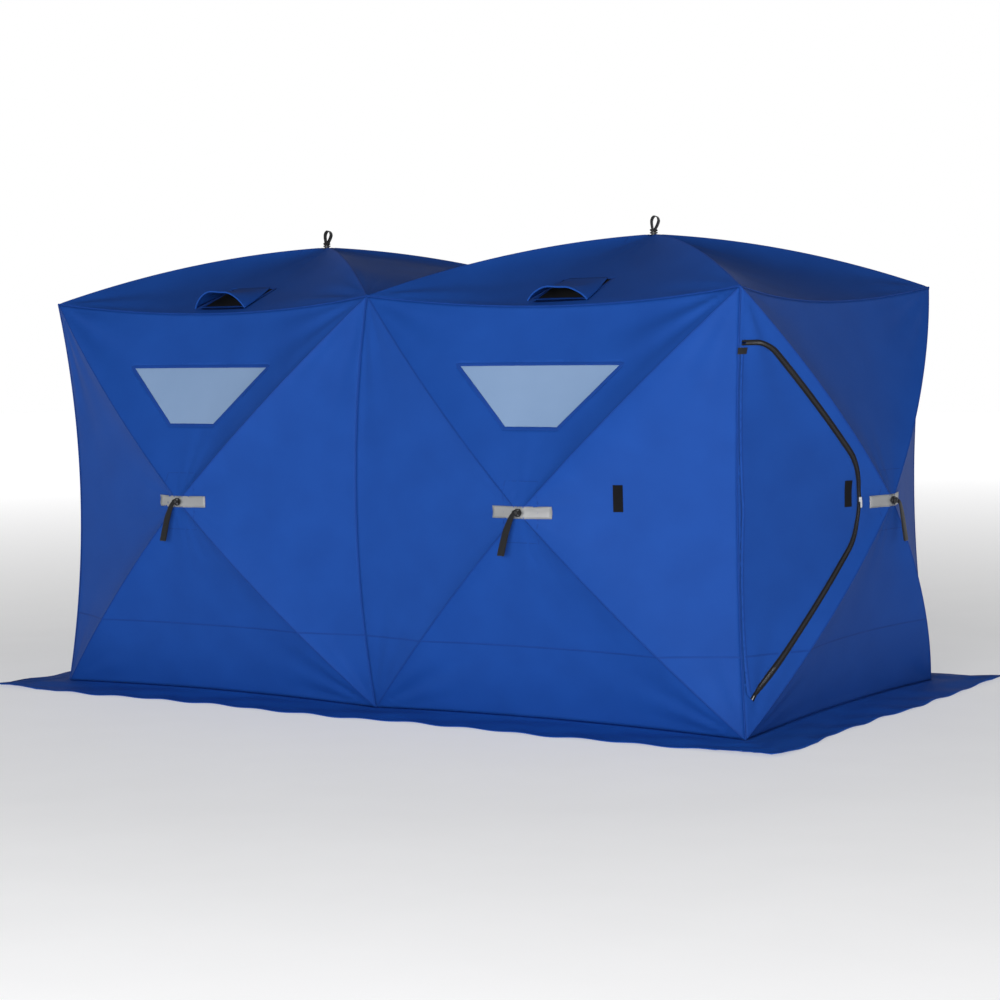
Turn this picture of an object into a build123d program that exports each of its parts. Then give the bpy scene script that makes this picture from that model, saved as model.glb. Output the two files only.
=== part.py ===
from build123d import *
from math import atan, cos, degrees, hypot, radians, sin
import os

os.makedirs("parts", exist_ok=True)

# Driving dimensions, in millimetres. +X runs along the shelter, the front wall faces -Y.
BAY = 1800.0  # length of each of the two bays
DEPTH = 1800.0  # front corner to back corner
EAVE = 1790.0  # height of the roof corners
BASE = 12.0  # height of the walls' lower corners, over the ground skirt
WALL_RISE = 225.0  # how far a wall hub stands out of its wall's corner plane
ROOF_RISE = 250.0  # how far a roof hub stands above the eaves
POLE_BOW = 45.0  # extra height of the cloth half way along a pole

CLOTH = 1.5
SEAM_INSET = 1.0  # each flat facet of cloth stops this far short of its seams
EDGE_INSET = 3.0  # and each wall this far short of the walls beside it
EDGE_SAG = 55.0  # corner edges curve in by this much on both walls
EAVE_SAG = 60.0  # and the eaves this much down and in
BASE_SAG = 15.0
MIDDLE_BULGE = 110.0  # the seam between two bays is pulled out instead
VALLEY_LIFT = 70.0  # and the valley between the roofs is pulled up
EDGE_STEP = 0.4  # an edge is three straight runs, broken this far each side of its middle
APEX_HOLE = 20.0  # the cloth stops this far from the middle of its hub

SKIRT_WIDTH = 255.0
SKIRT_THICK = 3.0

WINDOW_TOP = 800.0
WINDOW_BOTTOM = 255.0
WINDOW_LOW = 334.0  # lower edge, above the hub
WINDOW_HIGH = 594.0
PANE_GAP = 1.0

DOOR_ARC_X = 425.0  # centre of the zip's rounded corner, from the wall's corner edge
DOOR_ARC_Y = 15.0
DOOR_ARC_R = 279.0
DOOR_SLOPE = 46.0  # direction of the zip's two straight runs
DOOR_TOP = 668.0
DOOR_TOP_R = 150.0
DOOR_FOOT = -735.0
DOOR_MARGIN = 25.0  # from the corner edge to the door's hinge side
ZIP_CLEAR = 2.0
ZIP_WIDTH = 16.0
ZIP_THICK = 2.5
ZIP_LIFT = 0.4
CLOTH_CLEAR = 6.0  # cloth around the door starts this far from it
DOORWAY_CUTS = (-620.0, -215.0, 215.0, 620.0)

ROD_R = 5.5
FERRULE_R = 7.5
TIP_R = 7.5
FERRULE_START = 24.0
FERRULE_END = 90.0
CAP_LENGTH = 36.0
TONGUE = 8.0
PIN_R = 3.0
PIN_FIT = 0.05
PIN_OUT = 38.0  # hub centre to pole pin
PIN_LOW = 33.0  # cloth apex down to pole pin
PIN_HALF = 14.0  # half of the pin's length
TIP_SHORT = 64.0  # corner of the cloth to the tip of the pole, along the diagonal
TIP_LOW = -6.0
ROD_RISE = 40.0  # bow of the pole between its ends
POCKET_RUN = 28.0  # room past the tip in its corner pocket
POCKET_LENGTH = 60.0
POCKET_WALL = 1.0
POCKET_CLEAR = 1.2

HUB_R = 50.0
HUB_TOP = 20.0  # cloth apex down to the hub's upper face
HUB_THICK = 26.0
HUB_CORE = 16.0
SLOT = 9.0
NECK_R = 12.0
DISC_R = 17.0
DISC_LIFT = 3.0  # cloth apex up to the clamp disc, with the reflective strip between
DISC_THICK = 6.0
DISC_ROUND = 3.0
STUD_R = 9.0
STUD_LENGTH = 12.0
STRIP = (275.0, 50.0, 1.0)
STRIP_LIFT = 1.0
STRAP = (25.0, 165.0, 4.0)
ROOF_LOOP = (26.0, 8.0, 62.0)
SMALL_GAP = 0.4

SLIDER = (14.0, 22.0, 7.0)
SLIDER_CORNER = 4.0
SLIDER_ROUND = 2.0
SLIDER_TAB = (10.0, 34.0, 2.0)

VENT_Y = -665.0  # middle of a vent, in front of its roof hub
VENT = (250.0, 235.0)
VENT_PLATE = 2.5
VENT_CLEAR = 6.0
HOOD = (290.0, 270.0)
HOOD_NARROW = 60.0  # the hood's hinge side is shorter by this at each end
HOOD_OPEN = 17.0
HOOD_LIFT = 6.0

FLOOR_MID = (EAVE + BASE) / 2
HALF_HEIGHT = (EAVE - BASE) / 2
HALF_BAY = BAY / 2
HALF_DEPTH = DEPTH / 2

# How the middle of each side of a wall moves: (towards the hub, outwards).
EAVE_SIDE = (EAVE_SAG, -EAVE_SAG)
CORNER_SIDE = (EDGE_SAG, -EDGE_SAG)
BASE_SIDE = (BASE_SAG, -BASE_SAG)
MIDDLE_SIDE = (0.0, MIDDLE_BULGE)
VALLEY_SIDE = (0.0, VALLEY_LIFT)


class Wall:
    """A square of cloth on an X of poles. Its plane's Z points out, and its sides run
    anticlockwise from the top: top, left, bottom, right."""

    def __init__(self, name, origin, across, outward, half_height, rise, sides):
        self.name = name
        self.plane = Plane(origin=origin, x_dir=across, z_dir=outward)
        self.half = (HALF_BAY, half_height)
        self.rise = rise
        self.sides = sides

    def corner(self, k):
        """Corner k, anticlockwise from the top right."""
        x = self.half[0] - EDGE_INSET
        y = self.half[1] - EDGE_INSET
        return Vector((x, -x, -x, x)[k % 4], (y, y, -y, -y)[k % 4], 0)

    def ridge(self, k):
        """The cloth over the middle of pole k."""
        half = self.corner(k) * 0.5
        return Vector(half.X, half.Y, self.rise / 2 + POLE_BOW)

    def edge(self, k, step):
        """A point on side k, a given fraction from its middle towards corner k."""
        middle = (self.corner(k) + self.corner(k + 1)) * 0.5
        inwards, outwards = self.sides[k % 4]
        share = 1 - step * step
        towards = middle.normalized() * (inwards * share)
        along = (self.corner(k) - middle) * step
        return middle + along - towards + Vector(0, 0, outwards * share)

    def near_apex(self, point):
        """Where the line from the apex to a point leaves the hub's hole."""
        apex = Vector(0, 0, self.rise)
        return apex + (point - apex) * (APEX_HOLE / hypot(point.X, point.Y))

    def facets(self, k):
        """The five flat facets of the triangular gore on side k."""
        high = self.edge(k, EDGE_STEP)
        low = self.edge(k, -EDGE_STEP)
        ridge_a = self.ridge(k)
        ridge_b = self.ridge(k + 1)
        hole = self.near_apex
        return [
            [hole(high), high, low, hole(low)],
            [hole(ridge_a), ridge_a, high, hole(high)],
            [ridge_a, self.corner(k), high],
            [hole(low), low, ridge_b, hole(ridge_b)],
            [low, self.corner(k + 1), ridge_b],
        ]

    def diagonal(self, k):
        """The upright plane through the hub and corner k: X out along the pole, Y outwards."""
        flat = Vector((1, -1, -1, 1)[k] * self.half[0], (1, 1, -1, -1)[k] * self.half[1], 0)
        x_dir = (self.plane.x_dir * flat.X + self.plane.y_dir * flat.Y).normalized()
        return Plane(origin=self.plane.origin, x_dir=x_dir, z_dir=x_dir.cross(self.plane.z_dir))

    def reach(self):
        """Hub centre to pole tip, along the diagonal."""
        return hypot(*self.half) - TIP_SHORT


def upright(name, foot, across, outward, left, right):
    sides = [EAVE_SIDE, left, BASE_SIDE, right]
    return Wall(name, (*foot, FLOOR_MID), across, outward, HALF_HEIGHT, WALL_RISE, sides)


def roof(name, x, left, right):
    sides = [EAVE_SIDE, left, EAVE_SIDE, right]
    return Wall(name, (x, 0, EAVE), (1, 0, 0), (0, 0, 1), HALF_DEPTH, ROOF_RISE, sides)


FRONT = (0, -1, 0)
BACK = (0, 1, 0)
LEFT = (-1, 0, 0)
RIGHT = (1, 0, 0)
SIDE_WALLS = [
    upright("front_left_wall", (-HALF_BAY, -HALF_DEPTH), RIGHT, FRONT, CORNER_SIDE, MIDDLE_SIDE),
    upright("front_right_wall", (HALF_BAY, -HALF_DEPTH), RIGHT, FRONT, MIDDLE_SIDE, CORNER_SIDE),
    upright("back_left_wall", (-HALF_BAY, HALF_DEPTH), LEFT, BACK, MIDDLE_SIDE, CORNER_SIDE),
    upright("back_right_wall", (HALF_BAY, HALF_DEPTH), LEFT, BACK, CORNER_SIDE, MIDDLE_SIDE),
]
END_WALLS = [
    upright("left_end_wall", (-BAY, 0), FRONT, LEFT, CORNER_SIDE, CORNER_SIDE),
    upright("right_end_wall", (BAY, 0), BACK, RIGHT, CORNER_SIDE, CORNER_SIDE),
]
ROOFS = [
    roof("left_roof", -HALF_BAY, EAVE_SIDE, VALLEY_SIDE),
    roof("right_roof", HALF_BAY, VALLEY_SIDE, EAVE_SIDE),
]
DOOR_SIDE = 1
VENT_SIDE = 2
WINDOW_SIDE = 0
ALL_SIDES = range(4)
CUT_DEPTH = 700.0


def save(part, name):
    part.label = name
    export_step(part, f"parts/{name}.step")


def cloth_facets(wall, sides, thick, lift=0.0):
    """Add flat facets of some sides to the part being built. They hang inwards from the
    cloth's outer surface, or stand outwards above it where a lift is given."""
    for side in sides:
        for corners in wall.facets(side):
            first, second, third = [wall.plane.from_local_coords(p) for p in corners[:3]]
            inward = (third - first).cross(second - first)
            facet = Plane(origin=first, x_dir=second - first, z_dir=inward)
            if facet.z_dir.dot(wall.plane.z_dir) > 0:
                facet = Plane(origin=first, x_dir=second - first, z_dir=-inward)
            flat = [facet.to_local_coords(wall.plane.from_local_coords(p)) for p in corners]
            with BuildSketch(facet.offset(-lift)) as outline:
                Polygon(*[(p.X, p.Y) for p in flat], align=None)
                offset(amount=-SEAM_INSET, kind=Kind.INTERSECTION)
            extrude(outline.sketch, amount=-thick if lift else thick)


def window_outline(plane, grow):
    """A window's trapezoid, wider at the top."""
    with BuildSketch(plane) as outline:
        with BuildLine():
            Polyline(
                (-WINDOW_TOP / 2, WINDOW_HIGH),
                (WINDOW_TOP / 2, WINDOW_HIGH),
                (WINDOW_BOTTOM / 2, WINDOW_LOW),
                (-WINDOW_BOTTOM / 2, WINDOW_LOW),
                close=True,
            )
        make_face()
        if grow:
            offset(amount=grow, kind=Kind.INTERSECTION)
    return outline.sketch


def hinge_line(y):
    """How far the door's hinge side stands off the wall's corner plane, at a height."""
    return EDGE_SAG * (1 - abs(y) / HALF_HEIGHT) + DOOR_MARGIN


def door_outline(plane, grow):
    """The door: straight on its hinge side, with a zip of two sloping runs that meet in a
    round corner next to the hub."""
    slope = radians(DOOR_SLOPE)
    out = Vector(cos(slope), sin(slope))
    centre = Vector(DOOR_ARC_X - HALF_BAY, DOOR_ARC_Y)
    upper = centre + out * DOOR_ARC_R
    lower = Vector(upper.X, 2 * DOOR_ARC_Y - upper.Y)
    rise = Vector(-sin(slope), cos(slope))
    bend = DOOR_TOP_R * (1 - sin(slope))
    top_bend = upper + rise * ((DOOR_TOP - bend - upper.Y) / rise.Y)
    top_end = Vector(top_bend.X - DOOR_TOP_R * cos(slope), DOOR_TOP)
    foot = lower + Vector(rise.X, -rise.Y) * ((lower.Y - DOOR_FOOT) / rise.Y)
    with BuildSketch(plane) as outline:
        with BuildLine():
            Line((hinge_line(DOOR_TOP) - HALF_BAY, DOOR_TOP), (top_end.X, top_end.Y))
            TangentArc((top_end.X, top_end.Y), (top_bend.X, top_bend.Y), tangent=(1, 0))
            Line((top_bend.X, top_bend.Y), (upper.X, upper.Y))
            ThreePointArc(
                (upper.X, upper.Y), (centre.X + DOOR_ARC_R, DOOR_ARC_Y), (lower.X, lower.Y)
            )
            Polyline(
                (lower.X, lower.Y),
                (foot.X, foot.Y),
                (hinge_line(DOOR_FOOT) - HALF_BAY, DOOR_FOOT),
                (hinge_line(0) - HALF_BAY, 0),
                (hinge_line(DOOR_TOP) - HALF_BAY, DOOR_TOP),
            )
        make_face()
        if grow:
            offset(amount=grow)
    return outline.sketch


def vent_plane(wall):
    """The flat seat of a vent, in the middle of its roof's front gore."""
    eave = wall.edge(VENT_SIDE, 0)
    slope = degrees(atan((wall.rise - eave.Z) / abs(eave.Y)))
    height = wall.rise - (wall.rise - eave.Z) * VENT_Y / eave.Y
    origin = wall.plane.from_local_coords(Vector(0, VENT_Y, height + VENT_CLEAR))
    level = Plane(origin=origin, x_dir=wall.plane.x_dir, z_dir=wall.plane.z_dir)
    return level.rotated((slope, 0, 0))


def rod_line(wall, k):
    """The bowed middle line of pole k, from its pin to its tip."""
    lie = wall.diagonal(k)
    start = Vector(PIN_OUT, wall.rise - PIN_LOW)
    end = Vector(wall.reach(), TIP_LOW)
    middle = (start + end) * 0.5 + Vector(0, ROD_RISE)
    return lie.from_local_coords(ThreePointArc(start, middle, end))


def pocket(wall, k):
    """The sewn pocket that holds the tip of pole k, in its corner."""
    bow = rod_line(wall, k)
    blind_end = Plane(origin=bow @ 1 + (bow % 1) * POCKET_RUN, z_dir=bow % 1)
    inside = TIP_R + POCKET_CLEAR
    with BuildPart() as pocket:
        with BuildSketch(blind_end):
            Circle(inside + POCKET_WALL)
        extrude(amount=POCKET_WALL)
        with BuildSketch(blind_end):
            Circle(inside + POCKET_WALL)
            Circle(inside, mode=Mode.SUBTRACT)
        extrude(amount=-POCKET_LENGTH)
    return pocket.part


def save_cloth(panel, wall):
    """Save a wall's cloth with the pockets sewn into its corners."""
    save(Compound(children=[panel, *[pocket(wall, k) for k in ALL_SIDES]]), wall.name)


# Walls and roofs. The front and back walls have windows, the ends have doorways, and the
# roofs have a hole under each vent.
for wall in SIDE_WALLS:
    with BuildPart() as panel:
        cloth_facets(wall, ALL_SIDES, CLOTH)
        extrude(window_outline(wall.plane, 0), amount=CUT_DEPTH, both=True, mode=Mode.SUBTRACT)
    save_cloth(panel.part, wall)

for wall in END_WALLS:
    with BuildPart() as panel:
        cloth_facets(wall, ALL_SIDES, CLOTH)
        extrude(door_outline(wall.plane, CLOTH_CLEAR), amount=CUT_DEPTH, both=True, mode=Mode.SUBTRACT)
        with BuildSketch(wall.plane) as cuts:
            for height in DOORWAY_CUTS:
                with Locations((-HALF_BAY / 2, height)):
                    Rectangle(HALF_BAY - 2 * HUB_R, 2 * SEAM_INSET)
        extrude(cuts.sketch, amount=CUT_DEPTH, both=True, mode=Mode.SUBTRACT)
    save_cloth(panel.part, wall)

for wall in ROOFS:
    with BuildPart() as panel:
        cloth_facets(wall, ALL_SIDES, CLOTH)
        with BuildSketch(vent_plane(wall)) as hole:
            Rectangle(VENT[0] + 2 * VENT_CLEAR, VENT[1] + 2 * VENT_CLEAR)
        extrude(hole.sketch, amount=HUB_R, both=True, mode=Mode.SUBTRACT)
    save_cloth(panel.part, wall)

# Window panes, one sheet in each front and back wall.
panes = []
for wall in SIDE_WALLS:
    with BuildPart() as pane:
        cloth_facets(wall, [WINDOW_SIDE], CLOTH)
        extrude(window_outline(wall.plane, -PANE_GAP), amount=CUT_DEPTH, both=True, mode=Mode.INTERSECT)
    panes.append(pane.part)
save(Compound(children=panes), "window_panes")

# Ground skirt: four flat strips that meet in mitres at the corners.
skirt_x = BAY + SKIRT_WIDTH
skirt_y = HALF_DEPTH + SKIRT_WIDTH
with BuildPart() as skirt:
    for side_x, side_y in ((1, 1), (-1, -1)):
        inner_x, inner_y = side_x * (BAY - EDGE_SAG), side_y * (HALF_DEPTH - EDGE_SAG)
        outer_x, outer_y = side_x * skirt_x, side_y * skirt_y
        with BuildSketch() as strips:
            for far in (
                [(inner_x, inner_y), (outer_x, outer_y), (-outer_x, outer_y), (-inner_x, inner_y)],
                [(inner_x, inner_y), (outer_x, outer_y), (outer_x, -outer_y), (inner_x, -inner_y)],
            ):
                with BuildSketch(mode=Mode.PRIVATE) as strip:
                    Polygon(*far, align=None)
                    offset(amount=-SEAM_INSET, kind=Kind.INTERSECTION)
                add(strip.sketch)
        extrude(strips.sketch, amount=SKIRT_THICK)
save(skirt.part, "ground_skirt")

# Doors, and the half of each zip that stays on the wall.
for wall, side in zip(END_WALLS, ("left", "right")):
    with BuildPart() as door:
        cloth_facets(wall, [DOOR_SIDE], CLOTH)
        extrude(door_outline(wall.plane, 0), amount=CUT_DEPTH, both=True, mode=Mode.INTERSECT)
    save(door.part, f"{side}_door")

    with BuildPart() as track:
        cloth_facets(wall, [DOOR_SIDE], ZIP_THICK, ZIP_LIFT)
        band = door_outline(wall.plane, ZIP_CLEAR + ZIP_WIDTH)
        extrude(band, amount=CUT_DEPTH, both=True, mode=Mode.INTERSECT)
        extrude(door_outline(wall.plane, ZIP_CLEAR), amount=CUT_DEPTH, both=True, mode=Mode.SUBTRACT)
        with BuildSketch(wall.plane) as hinge_side:
            with Locations((-HALF_BAY, 0)):
                Rectangle(2 * hinge_line(0), BAY)
        extrude(hinge_side.sketch, amount=CUT_DEPTH, both=True, mode=Mode.SUBTRACT)
    save(track.part, f"{side}_door_zip")

# Zip sliders: a body that straddles the zip where it turns by the hub, and a pull tab.
for wall, side in zip(END_WALLS, ("left", "right")):
    edge = wall.edge(DOOR_SIDE, EDGE_STEP)
    slope = (wall.rise - edge.Z) / -edge.X
    across = DOOR_ARC_X + DOOR_ARC_R + ZIP_CLEAR - HALF_BAY
    outward = Vector(-slope, 0, 1).normalized()
    seat = Vector(across, DOOR_ARC_Y, wall.rise + across * slope)
    seat += outward * (ZIP_LIFT + ZIP_THICK + SMALL_GAP)
    z_dir = wall.plane.x_dir * outward.X + wall.plane.z_dir * outward.Z
    deck = Plane(origin=wall.plane.from_local_coords(seat), x_dir=wall.plane.y_dir, z_dir=z_dir)
    with BuildPart() as slider:
        with BuildSketch(deck):
            RectangleRounded(SLIDER[1], SLIDER[0], SLIDER_CORNER)
        extrude(amount=SLIDER[2])
        fillet(slider.edges().group_by(Axis(deck.origin, deck.z_dir))[-1], SLIDER_ROUND)
        with BuildSketch(deck.offset(SLIDER[2])):
            with Locations((-SLIDER_TAB[1] / 2, 0)):
                SlotOverall(SLIDER_TAB[1], SLIDER_TAB[0])
        extrude(amount=SLIDER_TAB[2])
    save(slider.part, f"{side}_zip_slider")

# Vents: a framed mesh screen in a hole in the roof, and a hood propped open over it.
for wall, side in zip(ROOFS, ("left", "right")):
    seat = vent_plane(wall)
    with BuildPart() as screen:
        with BuildSketch(seat):
            Rectangle(*VENT)
        extrude(amount=-VENT_PLATE)
    save(screen.part, f"{side}_vent_screen")

    hinge = seat.from_local_coords(Vector(0, VENT[1] / 2, HOOD_LIFT))
    tilt = Plane(origin=hinge, x_dir=seat.x_dir, z_dir=seat.z_dir).rotated((-HOOD_OPEN, 0, 0))
    with BuildPart() as hood:
        with BuildSketch(tilt):
            with BuildLine():
                Polyline(
                    (HOOD_NARROW - HOOD[0] / 2, 0),
                    (HOOD[0] / 2 - HOOD_NARROW, 0),
                    (HOOD[0] / 2, -HOOD[1]),
                    (-HOOD[0] / 2, -HOOD[1]),
                    close=True,
                )
            make_face()
        extrude(amount=CLOTH)
    save(hood.part, f"{side}_vent_hood")


def hub(wall, loop):
    """A slotted hub with its pins, the disc that clamps the cloth, and what hangs on it."""
    top = wall.rise - HUB_TOP
    pin_height = wall.rise - PIN_LOW
    outside = wall.rise + DISC_LIFT + DISC_THICK
    pieces = []
    with BuildPart() as body:
        with BuildSketch(wall.plane.offset(top - HUB_THICK)):
            Circle(HUB_R)
        extrude(amount=HUB_THICK)
        for k in ALL_SIDES:
            lie = wall.diagonal(k)
            face = lie.from_local_coords(Vector(0, top, 0))
            with BuildSketch(Plane(origin=face, x_dir=lie.x_dir, z_dir=wall.plane.z_dir)):
                with Locations((HUB_CORE + HUB_R / 2, 0)):
                    Rectangle(HUB_R, SLOT)
            extrude(amount=-HUB_THICK, mode=Mode.SUBTRACT)
            with BuildSketch(lie):
                with Locations((PIN_OUT, pin_height)):
                    Circle(PIN_R + PIN_FIT / 2)
            extrude(amount=PIN_HALF + 1, both=True, mode=Mode.SUBTRACT)
    pieces.append(body.part.solid())
    for k in ALL_SIDES:
        with BuildPart() as pin:
            with BuildSketch(wall.diagonal(k)):
                with Locations((PIN_OUT, pin_height)):
                    Circle(PIN_R)
            extrude(amount=PIN_HALF, both=True)
        pieces.append(pin.part.solid())
    with BuildPart() as clamp:
        with BuildSketch(wall.plane.offset(top + SMALL_GAP)):
            Circle(NECK_R)
        extrude(amount=HUB_TOP + DISC_LIFT)
        with BuildSketch(wall.plane.offset(wall.rise + DISC_LIFT)):
            Circle(DISC_R)
        extrude(amount=DISC_THICK)
        with BuildSketch(wall.plane.offset(outside)):
            Circle(STUD_R)
        extrude(amount=STUD_LENGTH)
        fillet(clamp.edges().group_by(Axis(wall.plane.origin, wall.plane.z_dir))[-1], DISC_ROUND)
    pieces.append(clamp.part.solid())
    if loop:
        with BuildPart() as strap:
            with BuildSketch(wall.plane.offset(outside + STUD_LENGTH + SMALL_GAP)):
                Rectangle(ROOF_LOOP[0], ROOF_LOOP[1])
            extrude(amount=ROOF_LOOP[2])
    else:
        with BuildPart() as strap:
            with BuildSketch(wall.plane.offset(outside + SMALL_GAP)):
                with Locations((0, -STRAP[1] / 2 - STUD_R - 1)):
                    Rectangle(STRAP[0], STRAP[1])
            extrude(amount=STRAP[2])
        with BuildPart() as strip:
            with BuildSketch(wall.plane.offset(wall.rise + STRIP_LIFT)):
                Rectangle(STRIP[0], STRIP[1])
                Circle(NECK_R + SMALL_GAP, mode=Mode.SUBTRACT)
            extrude(amount=STRIP[2])
        pieces.append(strip.part.solid())
    pieces.append(strap.part.solid())
    return Compound(children=pieces)


def pole(wall, k):
    """A bowed rod with a ferrule pinned to the hub at one end and a round tip at the other."""
    lie = wall.diagonal(k)
    pin_height = wall.rise - PIN_LOW
    bow = rod_line(wall, k)
    rod = bow.trim(FERRULE_START / bow.length, 1 - TIP_R / bow.length)
    lean = bow % 0
    angle = degrees(atan(lean.dot(lie.y_dir) / lean.dot(lie.x_dir)))
    with BuildPart() as pole:
        with BuildSketch(Plane(origin=rod @ 0, z_dir=rod % 0)) as section:
            Circle(ROD_R)
        sweep(section.sketch, path=rod)
        with BuildSketch(Plane(origin=rod @ 0, z_dir=rod % 0)) as ferrule:
            Circle(FERRULE_R)
        extrude(ferrule.sketch, amount=FERRULE_END - FERRULE_START)
        with BuildSketch(Plane(origin=bow @ 1, z_dir=bow % 1)) as cap:
            Circle(TIP_R)
        extrude(cap.sketch, amount=-CAP_LENGTH)
        fillet(pole.edges().group_by(Axis(bow @ 1, bow % 1))[-1], TIP_R / 2)
        with BuildSketch(lie.offset(-TONGUE / 2)) as tongue:
            with Locations((PIN_OUT, pin_height)):
                Circle(FERRULE_R - 0.5)
            with Locations(Location((PIN_OUT, pin_height), angle)):
                with Locations((FERRULE_START / 2 + 2, 0)):
                    Rectangle(FERRULE_START + 4, 2 * FERRULE_R - 1)
            with Locations((PIN_OUT, pin_height)):
                Circle(PIN_R + PIN_FIT, mode=Mode.SUBTRACT)
        extrude(tongue.sketch, amount=TONGUE)
    return pole.part


for wall in SIDE_WALLS + END_WALLS + ROOFS:
    save(hub(wall, wall in ROOFS), f"{wall.name}_hub")
    for k in ALL_SIDES:
        save(pole(wall, k), f"{wall.name}_pole_{k + 1}")
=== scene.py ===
import math

import bpy
import numpy as np
from mathutils import Matrix, Vector
from mathutils.geometry import delaunay_2d_cdt
from mathutils.kdtree import KDTree


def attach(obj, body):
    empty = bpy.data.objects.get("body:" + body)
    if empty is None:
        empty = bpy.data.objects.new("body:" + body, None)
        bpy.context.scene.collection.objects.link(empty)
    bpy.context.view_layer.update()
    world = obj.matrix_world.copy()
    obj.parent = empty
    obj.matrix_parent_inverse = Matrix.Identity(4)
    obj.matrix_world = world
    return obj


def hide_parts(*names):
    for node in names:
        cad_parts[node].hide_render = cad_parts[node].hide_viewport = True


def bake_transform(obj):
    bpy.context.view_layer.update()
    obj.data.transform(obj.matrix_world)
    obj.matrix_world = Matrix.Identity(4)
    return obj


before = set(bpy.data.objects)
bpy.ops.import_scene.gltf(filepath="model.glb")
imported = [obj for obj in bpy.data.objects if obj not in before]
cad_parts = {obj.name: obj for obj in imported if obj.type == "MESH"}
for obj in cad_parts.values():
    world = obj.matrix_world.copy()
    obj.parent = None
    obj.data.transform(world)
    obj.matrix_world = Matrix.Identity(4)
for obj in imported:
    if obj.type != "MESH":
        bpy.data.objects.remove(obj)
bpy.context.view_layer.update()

# The shelter's own dimensions, in metres. +X runs along it and the front faces -Y.
BAY = 1.8
HALF_BAY = BAY / 2
HALF_DEPTH = 0.9
EAVE = 1.79
BASE = 0.012
FLOOR_MID = (EAVE + BASE) / 2
HALF_HEIGHT = (EAVE - BASE) / 2
WALL_RISE = 0.225
ROOF_RISE = 0.25
POLE_BOW = 0.045
EDGE_SAG = 0.055
EAVE_SIDE = (0.06, -0.06)
CORNER_SIDE = (EDGE_SAG, -EDGE_SAG)
BASE_SIDE = (0.015, -0.015)
MIDDLE_SIDE = (0.0, 0.11)
VALLEY_SIDE = (0.0, 0.07)
SADDLE = 1.3  # how quickly a gore takes on the curve of its outer edge

CLOTH = 0.0015
SPACING = 0.0155
HUB_HOLE = 0.013
SEAM = (0.009, 0.0007)  # width and height of a flat felled seam
BAND = 0.335 - FLOOR_MID  # seam of the walls' lower band

WINDOW = [(-0.4, 0.594), (-0.1275, 0.334), (0.1275, 0.334), (0.4, 0.594)]
DOOR_ARC = (-0.475, 0.015, 0.279)  # centre and radius of the zip's rounded corner
DOOR_SLOPE = math.radians(46)
DOOR_TOP = 0.668
DOOR_TOP_R = 0.15
DOOR_FOOT = -0.735
DOOR_MARGIN = 0.025
ZIP_GAP = 0.003
TAPE = 0.0085
TOOTH_PITCH = 0.0035

SKIRT_WIDTH = 0.255
VENT_Y = -0.665
VENT_HALF = (0.125, 0.114)
HOOD_HALF, HOOD_NARROW, HOOD_REACH = 0.145, 0.05, 0.262
PIN_OUT, PIN_LOW = 0.038, 0.033
TIP_SHORT, TIP_LOW, ROD_RISE = 0.064, -0.006, 0.04
POCKET_R = 0.0097

# Reach and depth of the creases at the top corners, the bottom corners and the hub.
FOLDS = [(0.17, 0.0068), (0.14, 0.0044), (0.09, 0.0024)]

# Trim, as half sizes where it is a rectangle, or as width and height where it is a tape.
STRIP_HALF = (0.1375, 0.025)
HUB_PATCH_HALF = (0.08, 0.125)
HOOK_PATCH = (0.038, 0.0026)
BAND_TAPE = (0.008, 0.0006)
TAPE_HEIGHT = 0.0009
TOOTH_HALF = (0.0011, 0.0021)
VENT_SEAT_HALF = (0.125, 0.1175)
STEP = 0.012  # spacing of the points along a sewn outline

SKIRT_CORNER = 0.13  # how far from a corner the skirt turns round it

CEILING = (0.07, 0.07, 0.075)


# Camera, light and floor.
def look(yaw, pitch, roll):
    """Axes of a camera: right, up and back."""
    yaw, pitch, roll = map(math.radians, (yaw, pitch, roll))
    ahead = Vector((-math.sin(yaw) * math.cos(pitch), math.cos(yaw) * math.cos(pitch), math.sin(pitch)))
    level = Vector((math.cos(yaw), math.sin(yaw), 0))
    above = level.cross(ahead)
    right = math.cos(roll) * level + math.sin(roll) * above
    up = -math.sin(roll) * level + math.cos(roll) * above
    return Matrix((right, up, -ahead)).transposed()


def add_object(name, data, matrix=None):
    made = bpy.data.objects.new(name, data)
    bpy.context.scene.collection.objects.link(made)
    if matrix is not None:
        made.matrix_world = matrix
    return made


def add_camera():
    data = bpy.data.cameras.new("camera")
    data.lens = 87.27
    data.sensor_width = 36
    data.shift_x = -0.0039
    data.shift_y = 0.0014
    data.clip_end = 100
    place = Matrix.Translation((6.2178, -9.2676, 1.6559)) @ look(33.4805, -4.1645, -1.0406).to_4x4()
    bpy.context.scene.camera = add_object("camera", data, place)


def add_softbox(name, place, target, size, power):
    data = bpy.data.lights.new(name, "AREA")
    data.shape = "RECTANGLE"
    data.size, data.size_y = size
    data.energy = power
    aim = (Vector(target) - Vector(place)).to_track_quat("-Z", "Y")
    add_object(name, data, Matrix.Translation(place) @ aim.to_matrix().to_4x4())


def nodes_of(owner):
    owner.use_nodes = True
    tree = owner.node_tree
    tree.nodes.clear()
    return tree


def node(tree, kind, **values):
    """Add a node. Values that name an input set it, and the others are properties."""
    made = tree.nodes.new(kind)
    for key, value in values.items():
        name = key.replace("_", " ")
        if name in made.inputs:
            made.inputs[name].default_value = value
        else:
            setattr(made, key, value)
    return made


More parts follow.
